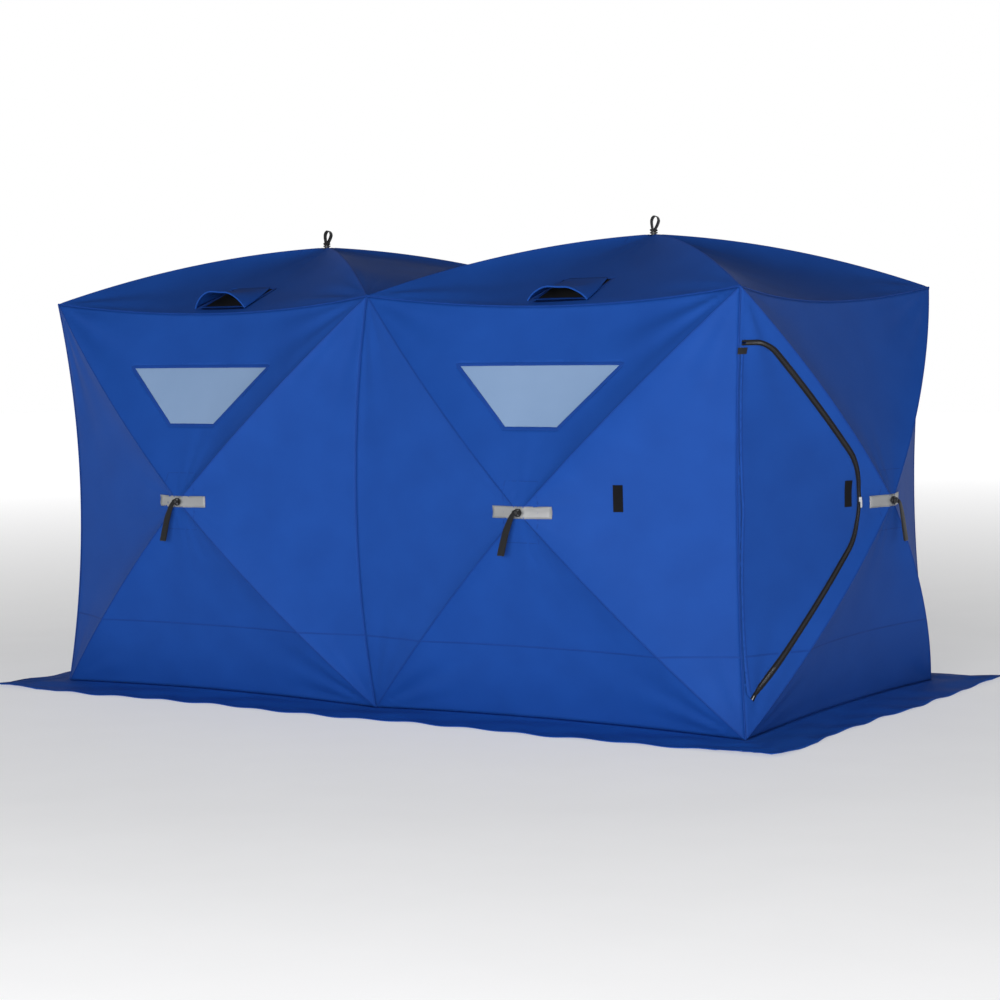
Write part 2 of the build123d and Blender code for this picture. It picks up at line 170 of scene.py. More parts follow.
def add_world():
    """A white studio wall all round, under a dim ceiling."""
    bpy.context.scene.view_settings.view_transform = "Standard"
    world = bpy.data.worlds.new("studio")
    bpy.context.scene.world = world
    tree = nodes_of(world)
    where = tree.nodes.new("ShaderNodeTexCoord")
    split = tree.nodes.new("ShaderNodeSeparateXYZ")
    ramp = tree.nodes.new("ShaderNodeValToRGB")
    low, high = ramp.color_ramp.elements
    low.position, low.color = 0.2, (1.0, 1.0, 1.0, 1)
    high.position, high.color = 0.45, (*CEILING, 1)
    sky = tree.nodes.new("ShaderNodeBackground")
    out = tree.nodes.new("ShaderNodeOutputWorld")
    tree.links.new(where.outputs["Generated"], split.inputs[0])
    tree.links.new(split.outputs["Z"], ramp.inputs[0])
    tree.links.new(ramp.outputs[0], sky.inputs["Color"])
    tree.links.new(sky.outputs[0], out.inputs[0])


# Materials.
def shader(name, rough=0.6, metal=0.0, specular=0.5, sheen=0.0, coat=0.0, glow=0.0):
    made = bpy.data.materials.new(name)
    tree = nodes_of(made)
    out = tree.nodes.new("ShaderNodeOutputMaterial")
    main = tree.nodes.new("ShaderNodeBsdfPrincipled")
    main.inputs["Roughness"].default_value = rough
    main.inputs["Metallic"].default_value = metal
    main.inputs["Specular IOR Level"].default_value = specular
    main.inputs["Sheen Weight"].default_value = sheen
    main.inputs["Sheen Roughness"].default_value = 0.4
    main.inputs["Coat Weight"].default_value = coat
    main.inputs["Emission Color"].default_value = (1, 1, 1, 1)
    main.inputs["Emission Strength"].default_value = glow
    tree.links.new(main.outputs[0], out.inputs[0])
    return made, tree, main


def shade(tree, main, factor, colours):
    """Colour the shader by a ramp over a factor."""
    ramp = tree.nodes.new("ShaderNodeValToRGB")
    ramp.color_ramp.elements[0].color = (*colours[0], 1)
    ramp.color_ramp.elements[1].color = (*colours[1], 1)
    ramp.color_ramp.elements[0].position = 0.3
    ramp.color_ramp.elements[1].position = 0.7
    tree.links.new(factor, ramp.inputs[0])
    tree.links.new(ramp.outputs[0], main.inputs["Base Color"])


def bump(tree, main, height, distance, strength=1.0):
    made = node(tree, "ShaderNodeBump", Strength=strength, Distance=distance)
    tree.links.new(height, made.inputs["Height"])
    if main.inputs["Normal"].is_linked:
        tree.links.new(main.inputs["Normal"].links[0].from_socket, made.inputs["Normal"])
    tree.links.new(made.outputs[0], main.inputs["Normal"])


def noise(tree, source, scale, detail=3.0):
    made = node(tree, "ShaderNodeTexNoise", Scale=scale, Detail=detail)
    tree.links.new(source, made.inputs["Vector"])
    return made.outputs["Fac"] if "Fac" in made.outputs else made.outputs[0]


def threads(tree, source, pitch):
    """A plain weave of threads that run along both axes of the cloth's own map."""
    waves = []
    for axis in ("X", "Y"):
        made = node(tree, "ShaderNodeTexWave", Scale=1.0 / pitch / 3.1416, bands_direction=axis)
        tree.links.new(source, made.inputs["Vector"])
        waves.append(made.outputs["Fac"])
    both = node(tree, "ShaderNodeMath", operation="MULTIPLY")
    tree.links.new(waves[0], both.inputs[0])
    tree.links.new(waves[1], both.inputs[1])
    return both.outputs[0]


def cloth(name, dark, light, pitch=0.0009, rough=0.72, sheen=0.0, specular=0.16):
    """Woven cloth: an uneven dye, a weave and the faint creases of packed fabric."""
    made, tree, main = shader(name, rough=rough, sheen=sheen, specular=specular)
    where = tree.nodes.new("ShaderNodeTexCoord").outputs["UV"]
    shade(tree, main, noise(tree, where, 5.0, 4.0), (dark, light))
    bump(tree, main, noise(tree, where, 14.0, 2.0), 0.0012, 0.35)
    bump(tree, main, threads(tree, where, pitch), 0.00015, 0.5)
    return made


def solid(name, dark, light, scale, depth, **look_of):
    """A moulded, drawn or cast material, with a grain of the given scale."""
    made, tree, main = shader(name, **look_of)
    where = tree.nodes.new("ShaderNodeTexCoord").outputs["Object"]
    grain = noise(tree, where, scale)
    shade(tree, main, grain, (dark, light))
    bump(tree, main, grain, depth, 0.6)
    return made


def streaked(name, dark, light, **look_of):
    """Drawn glass fibre, streaked along its length."""
    made, tree, main = shader(name, **look_of)
    where = tree.nodes.new("ShaderNodeTexCoord").outputs["Object"]
    fibres = noise(tree, where, 240.0, 1.0)
    shade(tree, main, fibres, (dark, light))
    bump(tree, main, fibres, 0.0001, 0.4)
    return made


BLUE = cloth("blue_oxford", (0.0040, 0.046, 0.246), (0.0052, 0.053, 0.276))
SEAM_BLUE = cloth("blue_seam", (0.0035, 0.036, 0.205), (0.0045, 0.042, 0.235), pitch=0.0007)
NAVY = cloth("navy_skirt", (0.0038, 0.064, 0.330), (0.0050, 0.074, 0.370), rough=0.8)
WEBBING = cloth("black_webbing", (0.006, 0.006, 0.007), (0.014, 0.014, 0.015), pitch=0.0016, sheen=0.3)
TAPE_BLACK = cloth("zip_tape_black", (0.004, 0.004, 0.005), (0.009, 0.009, 0.011), pitch=0.0008)
HOOKS = cloth("hook_and_loop", (0.003, 0.003, 0.004), (0.010, 0.010, 0.011), pitch=0.0022, rough=0.95)
SILVER = cloth(
    "reflective_silver", (0.195, 0.20, 0.205), (0.25, 0.255, 0.26), pitch=0.0012, rough=0.42, specular=0.6
)
MESH = cloth("vent_mesh_black", (0.001, 0.001, 0.001), (0.02, 0.02, 0.022), pitch=0.0015, rough=0.8)
VINYL = solid("pale_vinyl", (0.175, 0.265, 0.420), (0.192, 0.285, 0.445), 3.0, 0.0006, rough=0.16, coat=0.3)
PLASTIC = solid("hub_moulding", (0.008, 0.008, 0.009), (0.014, 0.014, 0.015), 900.0, 0.00008, rough=0.48)
STEEL = solid("pin_steel", (0.42, 0.42, 0.43), (0.55, 0.55, 0.56), 400.0, 0.00004, rough=0.3, metal=1.0)
ZINC = solid("zip_zinc", (0.50, 0.51, 0.53), (0.68, 0.69, 0.71), 300.0, 0.00006, rough=0.35, metal=0.8)
TEETH = solid("zip_coil", (0.006, 0.006, 0.007), (0.02, 0.02, 0.022), 600.0, 0.00005, rough=0.4)
FIBRE = streaked("glass_fibre", (0.012, 0.012, 0.013), (0.035, 0.034, 0.033), rough=0.34, coat=0.2)
FLOOR = solid("studio_floor", (0.44, 0.44, 0.445), (0.46, 0.46, 0.465), 2.0, 0.0001, rough=0.9, glow=0.46)


# Walls.
def smooth(value):
    value = np.clip(value, 0, 1)
    return value * value * (3 - 2 * value)


class Wall:
    """A square of cloth on an X of poles, in its own plane: Z points out of the shelter.
    The sides run anticlockwise from the top, as do the corners from the top right."""

    def __init__(self, name, origin, across, outward, half_height, rise, sides, seed):
        self.name = name
        self.hub = name + "_hub"
        self.origin = np.array(origin, float)
        self.x = np.array(across, float)
        self.z = np.array(outward, float)
        self.y = np.cross(self.z, self.x)
        self.half = (HALF_BAY, half_height)
        self.rise = rise
        self.sides = sides
        draw = np.random.default_rng(seed)
        self.waves = [(draw.uniform(11, 23, 4), draw.uniform(0, 6.28, 4)) for _ in range(5)]
        self.swell = [(draw.uniform(-9, 9, 2), draw.uniform(0, 6.28)) for _ in range(6)]

    def corner(self, k):
        hx, hy = self.half
        return np.array([(hx, -hx, -hx, hx)[k % 4], (hy, hy, -hy, -hy)[k % 4]])

    def share(self, xy):
        """Each point's share of the way from the hub to the edge, and along its side."""
        x, y = xy[:, 0], xy[:, 1]
        hx, hy = self.half
        side = np.where(np.abs(y) * hx >= np.abs(x) * hy, np.where(y >= 0, 0, 2), np.where(x < 0, 1, 3))
        out, along = np.zeros(len(xy)), np.zeros(len(xy))
        sag = np.zeros(len(xy))
        for k, (u, v) in enumerate(((x, y), (y, -x), (-x, -y), (-y, x))):
            pick = side == k
            half, reach = (hx, hy) if k % 2 == 0 else (hy, hx)
            inwards, outwards = self.sides[k]
            ratio = u[pick] / np.maximum(v[pick], 1e-9)
            root = np.sqrt(np.maximum(half * half - 4 * inwards * ratio**2 * (reach - inwards), 0))
            s = 2 * ratio * (reach - inwards) / (half + root)
            out[pick] = v[pick] / (reach - inwards * (1 - s * s))
            along[pick] = s
            sag[pick] = outwards * (1 - s * s)
        return out, along, sag

    def folds(self, xy, out, along):
        """Creases that run from the corners and the hub, and a slow unevenness."""
        total = np.zeros(len(xy))
        centres = [self.corner(k) for k in range(4)] + [np.zeros(2)]
        for k, (centre, (counts, phases)) in enumerate(zip(centres, self.waves)):
            away = xy - centre
            radius = np.hypot(away[:, 0], away[:, 1])
            turn = np.arctan2(away[:, 1], away[:, 0])
            reach, depth = FOLDS[min(k // 2, 2)] if k < 4 else FOLDS[2]
            grow = radius / reach
            envelope = grow * np.exp(1 - grow)
            pattern = sum(np.cos(np.round(n) * turn + p) for n, p in zip(counts, phases)) / 2.2
            total += depth * envelope * pattern
        for push, phase in self.swell:
            total += 0.0011 * np.sin(xy @ push + phase)
        ridge_gap = (1 - np.abs(along)) * out * self.half[0]
        return total * smooth((1 - out) / 0.05) * smooth(ridge_gap / 0.05)

    def height(self, xy):
        out, along, sag = self.share(xy)
        out = np.minimum(out, 1.0)
        flat = self.rise * (1 - out) + sag * out**SADDLE
        bow = 4 * POLE_BOW * out * (1 - out) * np.abs(along) ** 3
        return flat + bow + self.folds(xy, out, along)

    def place(self, xy, lift=0.0):
        """Points of the cloth in the shelter's frame."""
        xy = np.asarray(xy, float)
        flat = self.origin + xy[:, :1] * self.x + xy[:, 1:2] * self.y
        return flat + (self.height(xy) + lift)[:, None] * self.z

    def local(self, points):
        away = points - self.origin
        return np.stack([away @ self.x, away @ self.y], axis=1)

    def side_line(self, k, steps, shrink=0.0):
        """The outer edge of side k in the wall's plane, from corner k to corner k + 1."""
        s = np.linspace(1, -1, steps)
        a, b = self.corner(k), self.corner(k + 1)
        middle = (a + b) / 2
        inward = -middle / np.linalg.norm(middle)
        chord = middle + s[:, None] * (a - middle)
        return chord + (self.sides[k][0] * (1 - s * s))[:, None] * inward + shrink * inward

    def outline(self, steps):
        return np.concatenate([self.side_line(k, steps)[:-1] for k in range(4)])

    def lattice(self, spacing):
        """Points in rings round the hub, some of them on each pole's line."""
        rings = int(HALF_BAY / spacing)
        found = []
        for k in range(4):
            for number in range(1, rings):
                line = self.side_line(k, 2 * number + 1)[:-1]
                found.append(line * (number / rings))
        return np.concatenate(found)


def upright(name, origin, across, outward, left, right, seed):
    sides = [EAVE_SIDE, left, BASE_SIDE, right]
    return Wall(name, (*origin, FLOOR_MID), across, outward, HALF_HEIGHT, WALL_RISE, sides, seed)


def roof(name, x, left, right, seed):
    sides = [EAVE_SIDE, left, EAVE_SIDE, right]
    return Wall(name, (x, 0, EAVE), (1, 0, 0), (0, 0, 1), HALF_DEPTH, ROOF_RISE, sides, seed)


FRONT, BACK = (0, -1, 0), (0, 1, 0)
SIDE_WALLS = [
    upright("front_left_wall", (-HALF_BAY, -HALF_DEPTH), (1, 0, 0), FRONT, CORNER_SIDE, MIDDLE_SIDE, 3),
    upright("front_right_wall", (HALF_BAY, -HALF_DEPTH), (1, 0, 0), FRONT, MIDDLE_SIDE, CORNER_SIDE, 4),
    upright("back_left_wall", (-HALF_BAY, HALF_DEPTH), (-1, 0, 0), BACK, MIDDLE_SIDE, CORNER_SIDE, 5),
    upright("back_right_wall", (HALF_BAY, HALF_DEPTH), (-1, 0, 0), BACK, CORNER_SIDE, MIDDLE_SIDE, 6),
]
END_WALLS = [
    upright("left_end_wall", (-BAY, 0), (0, -1, 0), (-1, 0, 0), CORNER_SIDE, CORNER_SIDE, 7),
    upright("right_end_wall", (BAY, 0), (0, 1, 0), (1, 0, 0), CORNER_SIDE, CORNER_SIDE, 8),
]
ROOFS = [
    roof("left_roof", -HALF_BAY, EAVE_SIDE, VALLEY_SIDE, 9),
    roof("right_roof", HALF_BAY, VALLEY_SIDE, EAVE_SIDE, 10),
]
ALL_WALLS = SIDE_WALLS + END_WALLS + ROOFS


# Mesh tools.
def build(name, verts, faces, material, uv=None, flat=False):
    mesh = bpy.data.meshes.new(name)
    mesh.from_pydata([tuple(v) for v in verts], [], [tuple(int(i) for i in f) for f in faces])
    mesh.validate()
    if uv is not None:
        layer = mesh.uv_layers.new(name="map")
        index = np.zeros(len(mesh.loops), int)
        mesh.loops.foreach_get("vertex_index", index)
        layer.data.foreach_set("uv", np.asarray(uv, float)[index].astype(np.float32).ravel())
    mesh.polygons.foreach_set("use_smooth", np.full(len(mesh.polygons), not flat))
    mesh.materials.append(material)
    return add_object(name, mesh)


def thicken(piece, thickness, offset=-1.0):
    made = piece.modifiers.new("thickness", "SOLIDIFY")
    made.thickness = thickness
    made.offset = offset


def inside(points, loop):
    """Which points lie inside a closed loop."""
    px, py = points[:, 0], points[:, 1]
    odd = np.zeros(len(points), bool)
    for (ax, ay), (bx, by) in zip(loop, np.roll(loop, -1, axis=0)):
        if ay != by:
            crosses = (ay > py) != (by > py)
            odd ^= crosses & (px < (bx - ax) * (py - ay) / (by - ay) + ax)
    return odd


def spread(path, step, closed=False):
    """Points at even steps along a run of straight lines."""
    path = np.asarray(path, float)
    if closed:
        path = np.concatenate([path, path[:1]])
    found = [path[:1]]
    for a, b in zip(path[:-1], path[1:]):
        count = max(1, int(np.ceil(np.linalg.norm(b - a) / step)))
        found.append(a + (b - a) * (np.arange(1, count + 1) / count)[:, None])
    line = np.concatenate(found)
    return line[:-1] if closed else line


def ring(centre, radius, count=20):
    turn = np.arange(count) * 2 * math.pi / count
    return np.stack([centre[0] + radius * np.cos(turn), centre[1] + radius * np.sin(turn)], axis=1)


def ridge_edges(wall, points):
    """Pairs of neighbouring points on the poles' lines, where the cloth creases."""
    pairs = []
    for k in range(4):
        corner = wall.corner(k)
        length = np.hypot(*corner)
        run = points @ corner / length
        aside = np.abs(points[:, 0] * corner[1] - points[:, 1] * corner[0]) / length
        line = np.flatnonzero((aside < 1e-7) & (run > 0))
        line = line[np.argsort(run[line])]
        pairs += [(int(a), int(b)) for a, b in zip(line[:-1], line[1:]) if run[b] - run[a] < 3 * SPACING]
    return pairs


def panel(name, wall, outer, holes, material, lift=0.0, sharp=True):
    """One continuous sheet of a wall's cloth, cut to an outline, less its holes."""
    loops = [outer, *holes]
    tree = KDTree(sum(len(loop) for loop in loops))
    count = 0
    for loop in loops:
        for x, y in loop:
            tree.insert((x, y, 0), count)
            count += 1
    tree.balance()
    grid = wall.lattice(SPACING)
    keep = inside(grid, outer)
    for hole in holes:
        keep &= ~inside(grid, hole)
    grid = grid[keep]
    clear = [tree.find((x, y, 0))[2] > 0.55 * SPACING for x, y in grid]
    grid = grid[np.array(clear, bool)]
    edges = []
    start = 0
    for loop in loops:
        size = len(loop)
        edges += [(start + i, start + (i + 1) % size) for i in range(size)]
        start += size
    every = np.concatenate([*loops, grid])
    edges += ridge_edges(wall, every)
    flat = [Vector(p) for p in every]
    made = delaunay_2d_cdt(flat, edges, [], 0, 1e-6, False)
    points = np.array([tuple(v) for v in made[0]])
    faces = np.array(made[2])
    middles = points[faces].mean(axis=1)
    good = inside(middles, outer)
    for hole in holes:
        good &= ~inside(middles, hole)
    faces = faces[good]
    used = np.unique(faces)
    renumber = np.zeros(len(points), int)
    renumber[used] = np.arange(len(used))
    points, faces = points[used], renumber[faces]
    piece = build(name, wall.place(points, lift), faces, material, uv=points)
    if sharp:
        _, along, _ = wall.share(points)
        on_ridge = np.abs(along) > 0.9995
        mark = piece.data.attributes.new("sharp_edge", "BOOLEAN", "EDGE")
        pairs = np.zeros(len(piece.data.edges) * 2, int)
        piece.data.edges.foreach_get("vertices", pairs)
        pairs = pairs.reshape(-1, 2)
        mark.data.foreach_set("value", on_ridge[pairs[:, 0]] & on_ridge[pairs[:, 1]])
    return piece


def loft(name, rows, material, closed_rows=True, closed_path=False, uv_scale=None):
    """A skin over rows of points. The rows are rings where closed, and are capped."""
    rows = np.asarray(rows, float)
    count, width = rows.shape[:2]
    faces = []
    last = count if closed_path else count - 1
    wide = width if closed_rows else width - 1
    for i in range(last):
        for j in range(wide):
            a, b = i * width + j, i * width + (j + 1) % width
            c, d = ((i + 1) % count) * width + j, ((i + 1) % count) * width + (j + 1) % width
            faces.append((a, b, d, c))
    if closed_rows and not closed_path:
        faces.append(tuple(reversed(range(width))))
        faces.append(tuple((count - 1) * width + j for j in range(width)))
    steps = np.linalg.norm(np.diff(rows.mean(axis=1), axis=0), axis=1)
    run = np.concatenate([[0], np.cumsum(steps)])
    around = np.linalg.norm(np.diff(rows[0], axis=0, append=rows[0][:1]), axis=1)
    across = np.concatenate([[0], np.cumsum(around)[:-1]])
    uv = np.stack([np.repeat(run, width), np.tile(across, count)], axis=1)
    piece = build(name, rows.reshape(-1, 3), faces, material, uv=uv)
    if closed_rows:
        piece.data.set_sharp_from_angle(angle=math.radians(38))
    return piece


def ribbon(name, wall, path, width, height, material, closed=False, lift=0.0, step=0.012):
    """A flat tape with rounded edges that lies on a wall's cloth along a path."""
    line = spread(path, step, closed)
    if closed:
        ahead = np.roll(line, -1, axis=0) - np.roll(line, 1, axis=0)
    else:
        ahead = np.gradient(line, axis=0)
    ahead /= np.linalg.norm(ahead, axis=1)[:, None]
    side = np.stack([-ahead[:, 1], ahead[:, 0]], axis=1)
    bevel = min(0.0012, width / 5)
    section = [
        (-width / 2, -0.0006),
        (-width / 2, height * 0.4),
        (-width / 2 + bevel, height),
        (0, height * 1.15),
        (width / 2 - bevel, height),
        (width / 2, height * 0.4),
        (width / 2, -0.0006),
    ]
    rows = [wall.place(line + side * across, lift + up) for across, up in reversed(section)]
    return loft(name, np.stack(rows, axis=1), material, closed_path=closed)


def frames(path):
    """A direction and two cross directions at each point of a path, turning smoothly."""
    path = np.asarray(path, float)
    ahead = np.gradient(path, axis=0)
    ahead /= np.linalg.norm(ahead, axis=1)[:, None]
    side = np.cross(ahead[0], (0, 0, 1.0))
    if np.linalg.norm(side) < 0.1:
        side = np.cross(ahead[0], (0, 1.0, 0))
    sides = []
    for direction in ahead:
        side = side - direction * (side @ direction)
        side = side / np.linalg.norm(side)
        sides.append(side)
    sides = np.array(sides)
    return ahead, sides, np.cross(ahead, sides)


def tube(name, path, radius, material, count=8, flatten=1.0):
    path = np.asarray(path, float)
    radius = np.broadcast_to(radius, len(path))
    _, side, other = frames(path)
    turn = np.arange(count) * 2 * math.pi / count
    rows = [
        centre + r * (np.cos(turn)[:, None] * a + flatten * np.sin(turn)[:, None] * b)
        for centre, r, a, b in zip(path, radius, side, other)
    ]
    return loft(name, rows, material)


def strap(name, path, width, thick, facing, material):
    """Flat webbing along a path, with its width across a given facing direction."""
    path = np.asarray(path, float)
    width = np.broadcast_to(width, len(path))
    ahead = np.gradient(path, axis=0)
    ahead /= np.linalg.norm(ahead, axis=1)[:, None]
    facing = np.broadcast_to(np.asarray(facing, float), path.shape)
    side = np.cross(ahead, facing)
    side /= np.linalg.norm(side, axis=1)[:, None]
    normal = np.cross(side, ahead)
    section = [(-0.5, -0.3), (-0.5, 0.3), (-0.44, 0.5), (0.44, 0.5)]
    section += [(0.5, 0.3), (0.5, -0.3), (0.44, -0.5), (-0.44, -0.5)]
    rows = [
        [centre + a * w * s + b * thick * n for a, b in section]
        for centre, w, s, n in zip(path, width, side, normal)
    ]
    return loft(name, rows, material)


def curve(points, count):
    """A smooth line through a few points."""
    points = np.asarray(points, float)
    padded = np.concatenate([2 * points[:1] - points[1:2], points, 2 * points[-1:] - points[-2:-1]])
    found = []
    for p0, p1, p2, p3 in zip(padded[:-3], padded[1:-2], padded[2:-1], padded[3:]):
        t = np.linspace(0, 1, count, endpoint=False)[:, None]
        found.append(
            0.5 * (2 * p1 + (p2 - p0) * t + (2 * p0 - 5 * p1 + 4 * p2 - p3) * t**2
                   + (3 * p1 - p0 - 3 * p2 + p3) * t**3)
        )
    return np.concatenate([*found, points[-1:]])


# How pieces follow the CAD.
def hang(piece, wall):
    """A piece that lies on a wall's cloth."""
    coords = np.array([v.co for v in piece.data.vertices], float)
    out, _, _ = wall.share(wall.local(coords))
    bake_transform(piece)
    return piece


def carry(piece, body):
    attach(piece, body)
    return piece


# Flat areas, worked out from the cut and not from the meshes.
def loop_area(loop):
    x, y = np.asarray(loop, float).T
    return abs(np.sum(x * np.roll(y, -1) - np.roll(x, -1) * y)) / 2


def slope_of(wall):
    """How much larger a gore's cloth is than its plan, averaged over the four."""
    return np.mean([math.hypot(reach, wall.rise - wall.sides[k][1] / 2) / reach
                    for k, reach in enumerate((wall.half[1], wall.half[0]) * 2)])


def cut_area(wall, holes):
    return round(float((loop_area(wall.outline(60)) - sum(map(loop_area, holes))) * slope_of(wall)), 3)


# Doors.
def hinge_x(y):
    return EDGE_SAG * (1 - abs(y) / HALF_HEIGHT) + DOOR_MARGIN - HALF_BAY


def zip_line(grow=0.0):
    """The zip, from its top end round the hub to its foot, in an end wall's plane."""
    cx, cy, radius = DOOR_ARC
    out = np.array([math.cos(DOOR_SLOPE), math.sin(DOOR_SLOPE)])
    upper = np.array([cx, cy]) + out * radius
    lower = np.array([upper[0], 2 * cy - upper[1]])
    rise = np.array([-out[1], out[0]])
    bend = DOOR_TOP_R * (1 - out[1])
    top_bend = upper + rise * ((DOOR_TOP - bend - upper[1]) / rise[1])
    top_x = top_bend[0] - DOOR_TOP_R * out[0]
    foot = lower + np.array([rise[0], -rise[1]]) * ((lower[1] - DOOR_FOOT) / rise[1])
    turn = np.linspace(math.pi / 2, DOOR_SLOPE, 8)
    top = np.array([top_x, DOOR_TOP - DOOR_TOP_R])
    top_arc = [top + DOOR_TOP_R * np.array([math.cos(a), math.sin(a)]) for a in turn]
    turn = np.linspace(DOOR_SLOPE, -DOOR_SLOPE, 30)
    arc = [np.array([cx, cy]) + radius * np.array([math.cos(a), math.sin(a)]) for a in turn]
    start = np.array([hinge_x(DOOR_TOP), DOOR_TOP])
    end = np.array([hinge_x(DOOR_FOOT), DOOR_FOOT])
    foot = foot if foot[0] > end[0] + 0.004 else end
    line = spread([start, *top_arc, *arc, foot], 0.01)
    if grow:
        ahead = np.gradient(line, axis=0)
        ahead /= np.linalg.norm(ahead, axis=1)[:, None]
        line = line + grow * np.stack([-ahead[:, 1], ahead[:, 0]], axis=1)
    return line


def hinge_side(steps):
    """The door's hinge side from its foot to its top."""
    return np.array([(hinge_x(y), y) for y in np.linspace(DOOR_FOOT, DOOR_TOP, steps)])


def door_loop(grow):
    """The door's outline, anticlockwise, grown along its zip."""
    return np.concatenate([zip_line(grow), hinge_side(60)[1:-1]])[::-1]


def add_floor_glow():
    """The floor grows whiter away from the shelter, so that it meets the background."""
    tree = FLOOR.node_tree
    main = next(n for n in tree.nodes if n.type == "BSDF_PRINCIPLED")
    where = tree.nodes.new("ShaderNodeTexCoord")
    away = node(tree, "ShaderNodeVectorMath", operation="LENGTH")
    glow = node(tree, "ShaderNodeMapRange", From_Min=3.0, From_Max=15.0, To_Min=0.42, To_Max=0.92)
    tree.links.new(where.outputs["Object"], away.inputs[0])
    tree.links.new(away.outputs["Value"], glow.inputs["Value"])
    tree.links.new(glow.outputs["Result"], main.inputs["Emission Strength"])


add_camera()
add_world()
add_floor_glow()
add_softbox("key", (4.2, -10.5, 2.2), (0.3, -0.6, 0.9), (5.0, 2.6), 900)
add_softbox("side", (10.5, -3.5, 2.2), (1.6, 0.0, 0.9), (4.0, 2.6), 110)
add_softbox("floor_wash", (0.0, 0.0, 9.0), (0.0, 0.0, 0.0), (16.0, 16.0), 120)
ground = build(
    "floor", [(-30, -30, 0), (30, -30, 0), (30, 30, 0), (-30, 30, 0)], [(0, 1, 2, 3)], FLOOR
)
ground.location.z = -0.0005

EDGE_STEPS = int(BAY / SPACING)
cloths, cuts, panes = {}, {}, {}
trim = {wall.name: [] for wall in ALL_WALLS}


def add_trim(piece, wall):
    trim[wall.name].append(hang(piece, wall))
    return piece


def vent_corners(grow):
    """The vent hole in a roof's plane."""
    x, y = VENT_HALF[0] + grow, VENT_HALF[1] + grow
    return np.array([(-x, VENT_Y - y), (x, VENT_Y - y), (x, VENT_Y + y), (-x, VENT_Y + y)])


def edge_at(wall, k, y):
    """Where the outer edge of side k crosses a height."""
    line = wall.side_line(k, 201)
    return line[np.argmin(abs(line[:, 1] - y)), 0]


def rectangle(x, y, right=None):
    """A rectangle of given half sizes round the hub, or with its right side elsewhere."""
    right = x if right is None else right
    return [(-x, -y), (right, -y), (right, y), (-x, y)]


for wall in ALL_WALLS:
    outer = wall.outline(EDGE_STEPS + 1)
    holes = [ring((0, 0), HUB_HOLE)]
    if wall in SIDE_WALLS:
        holes.append(spread(WINDOW, STEP, closed=True))
    if wall in END_WALLS:
        holes.append(door_loop(ZIP_GAP))
    if wall in ROOFS:
        holes.append(spread(vent_corners(0.0), STEP, closed=True))
    piece = panel(wall.name + "_cloth", wall, outer, holes, BLUE)
    cloths[wall.name] = hang(piece, wall)
    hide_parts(wall.name)
    cuts[wall.name] = cut_area(wall, holes)
    thicken(piece, CLOTH)

for wall in ALL_WALLS:
    for k in range(4):
        line = np.linspace(0.03, 0.985, 70)[:, None] * wall.corner(k)
        add_trim(ribbon(f"{wall.name}_pole_seam_{k + 1}", wall, line, *SEAM, SEAM_BLUE), wall)
    if wall not in ROOFS:
        start = edge_at(wall, 1, BAND)
        if wall in END_WALLS:
            door = zip_line()
            start = door[np.argmin(abs(door[:, 1] - BAND) + (door[:, 0] < hinge_x(BAND) + 0.02)), 0] + 0.02
        line = [(start, BAND), (edge_at(wall, 3, BAND), BAND)]
        add_trim(ribbon(f"{wall.name}_band_seam", wall, line, *BAND_TAPE, SEAM_BLUE), wall)
    patch = rectangle(*HUB_PATCH_HALF, right=HUB_PATCH_HALF[1] if wall in END_WALLS else None)
    seam = ribbon(f"{wall.name}_hub_patch_seam", wall, patch, 0.004, 0.0005, SEAM_BLUE, closed=True)
    add_trim(seam, wall)

# Windows: a sheet of vinyl behind the cloth, held by a sewn binding.
PANE = np.array(WINDOW) + np.array([(-0.012, 0.008), (-0.006, -0.008), (0.006, -0.008), (0.012, 0.008)])
for wall in SIDE_WALLS:
    edge = spread(PANE, STEP, closed=True)
    pane = panel(wall.name + "_pane", wall, edge, [], VINYL, lift=-0.0021, sharp=False)
    hang(pane, wall)
    thicken(pane, 0.0008)
    panes[wall.name] = pane
    binding = wall.name + "_window_binding"
    add_trim(ribbon(binding, wall, WINDOW, 0.014, TAPE_HEIGHT, SEAM_BLUE, closed=True), wall)
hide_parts("window_panes")


# Doors and their zips.
def swing(piece, wall):
    coords = np.array([v.co for v in piece.data.vertices], float)
    flat = wall.local(coords)
    start = wall.place(np.array([(hinge_x(0.0), 0.0)]))[0]
    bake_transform(piece)
    return piece


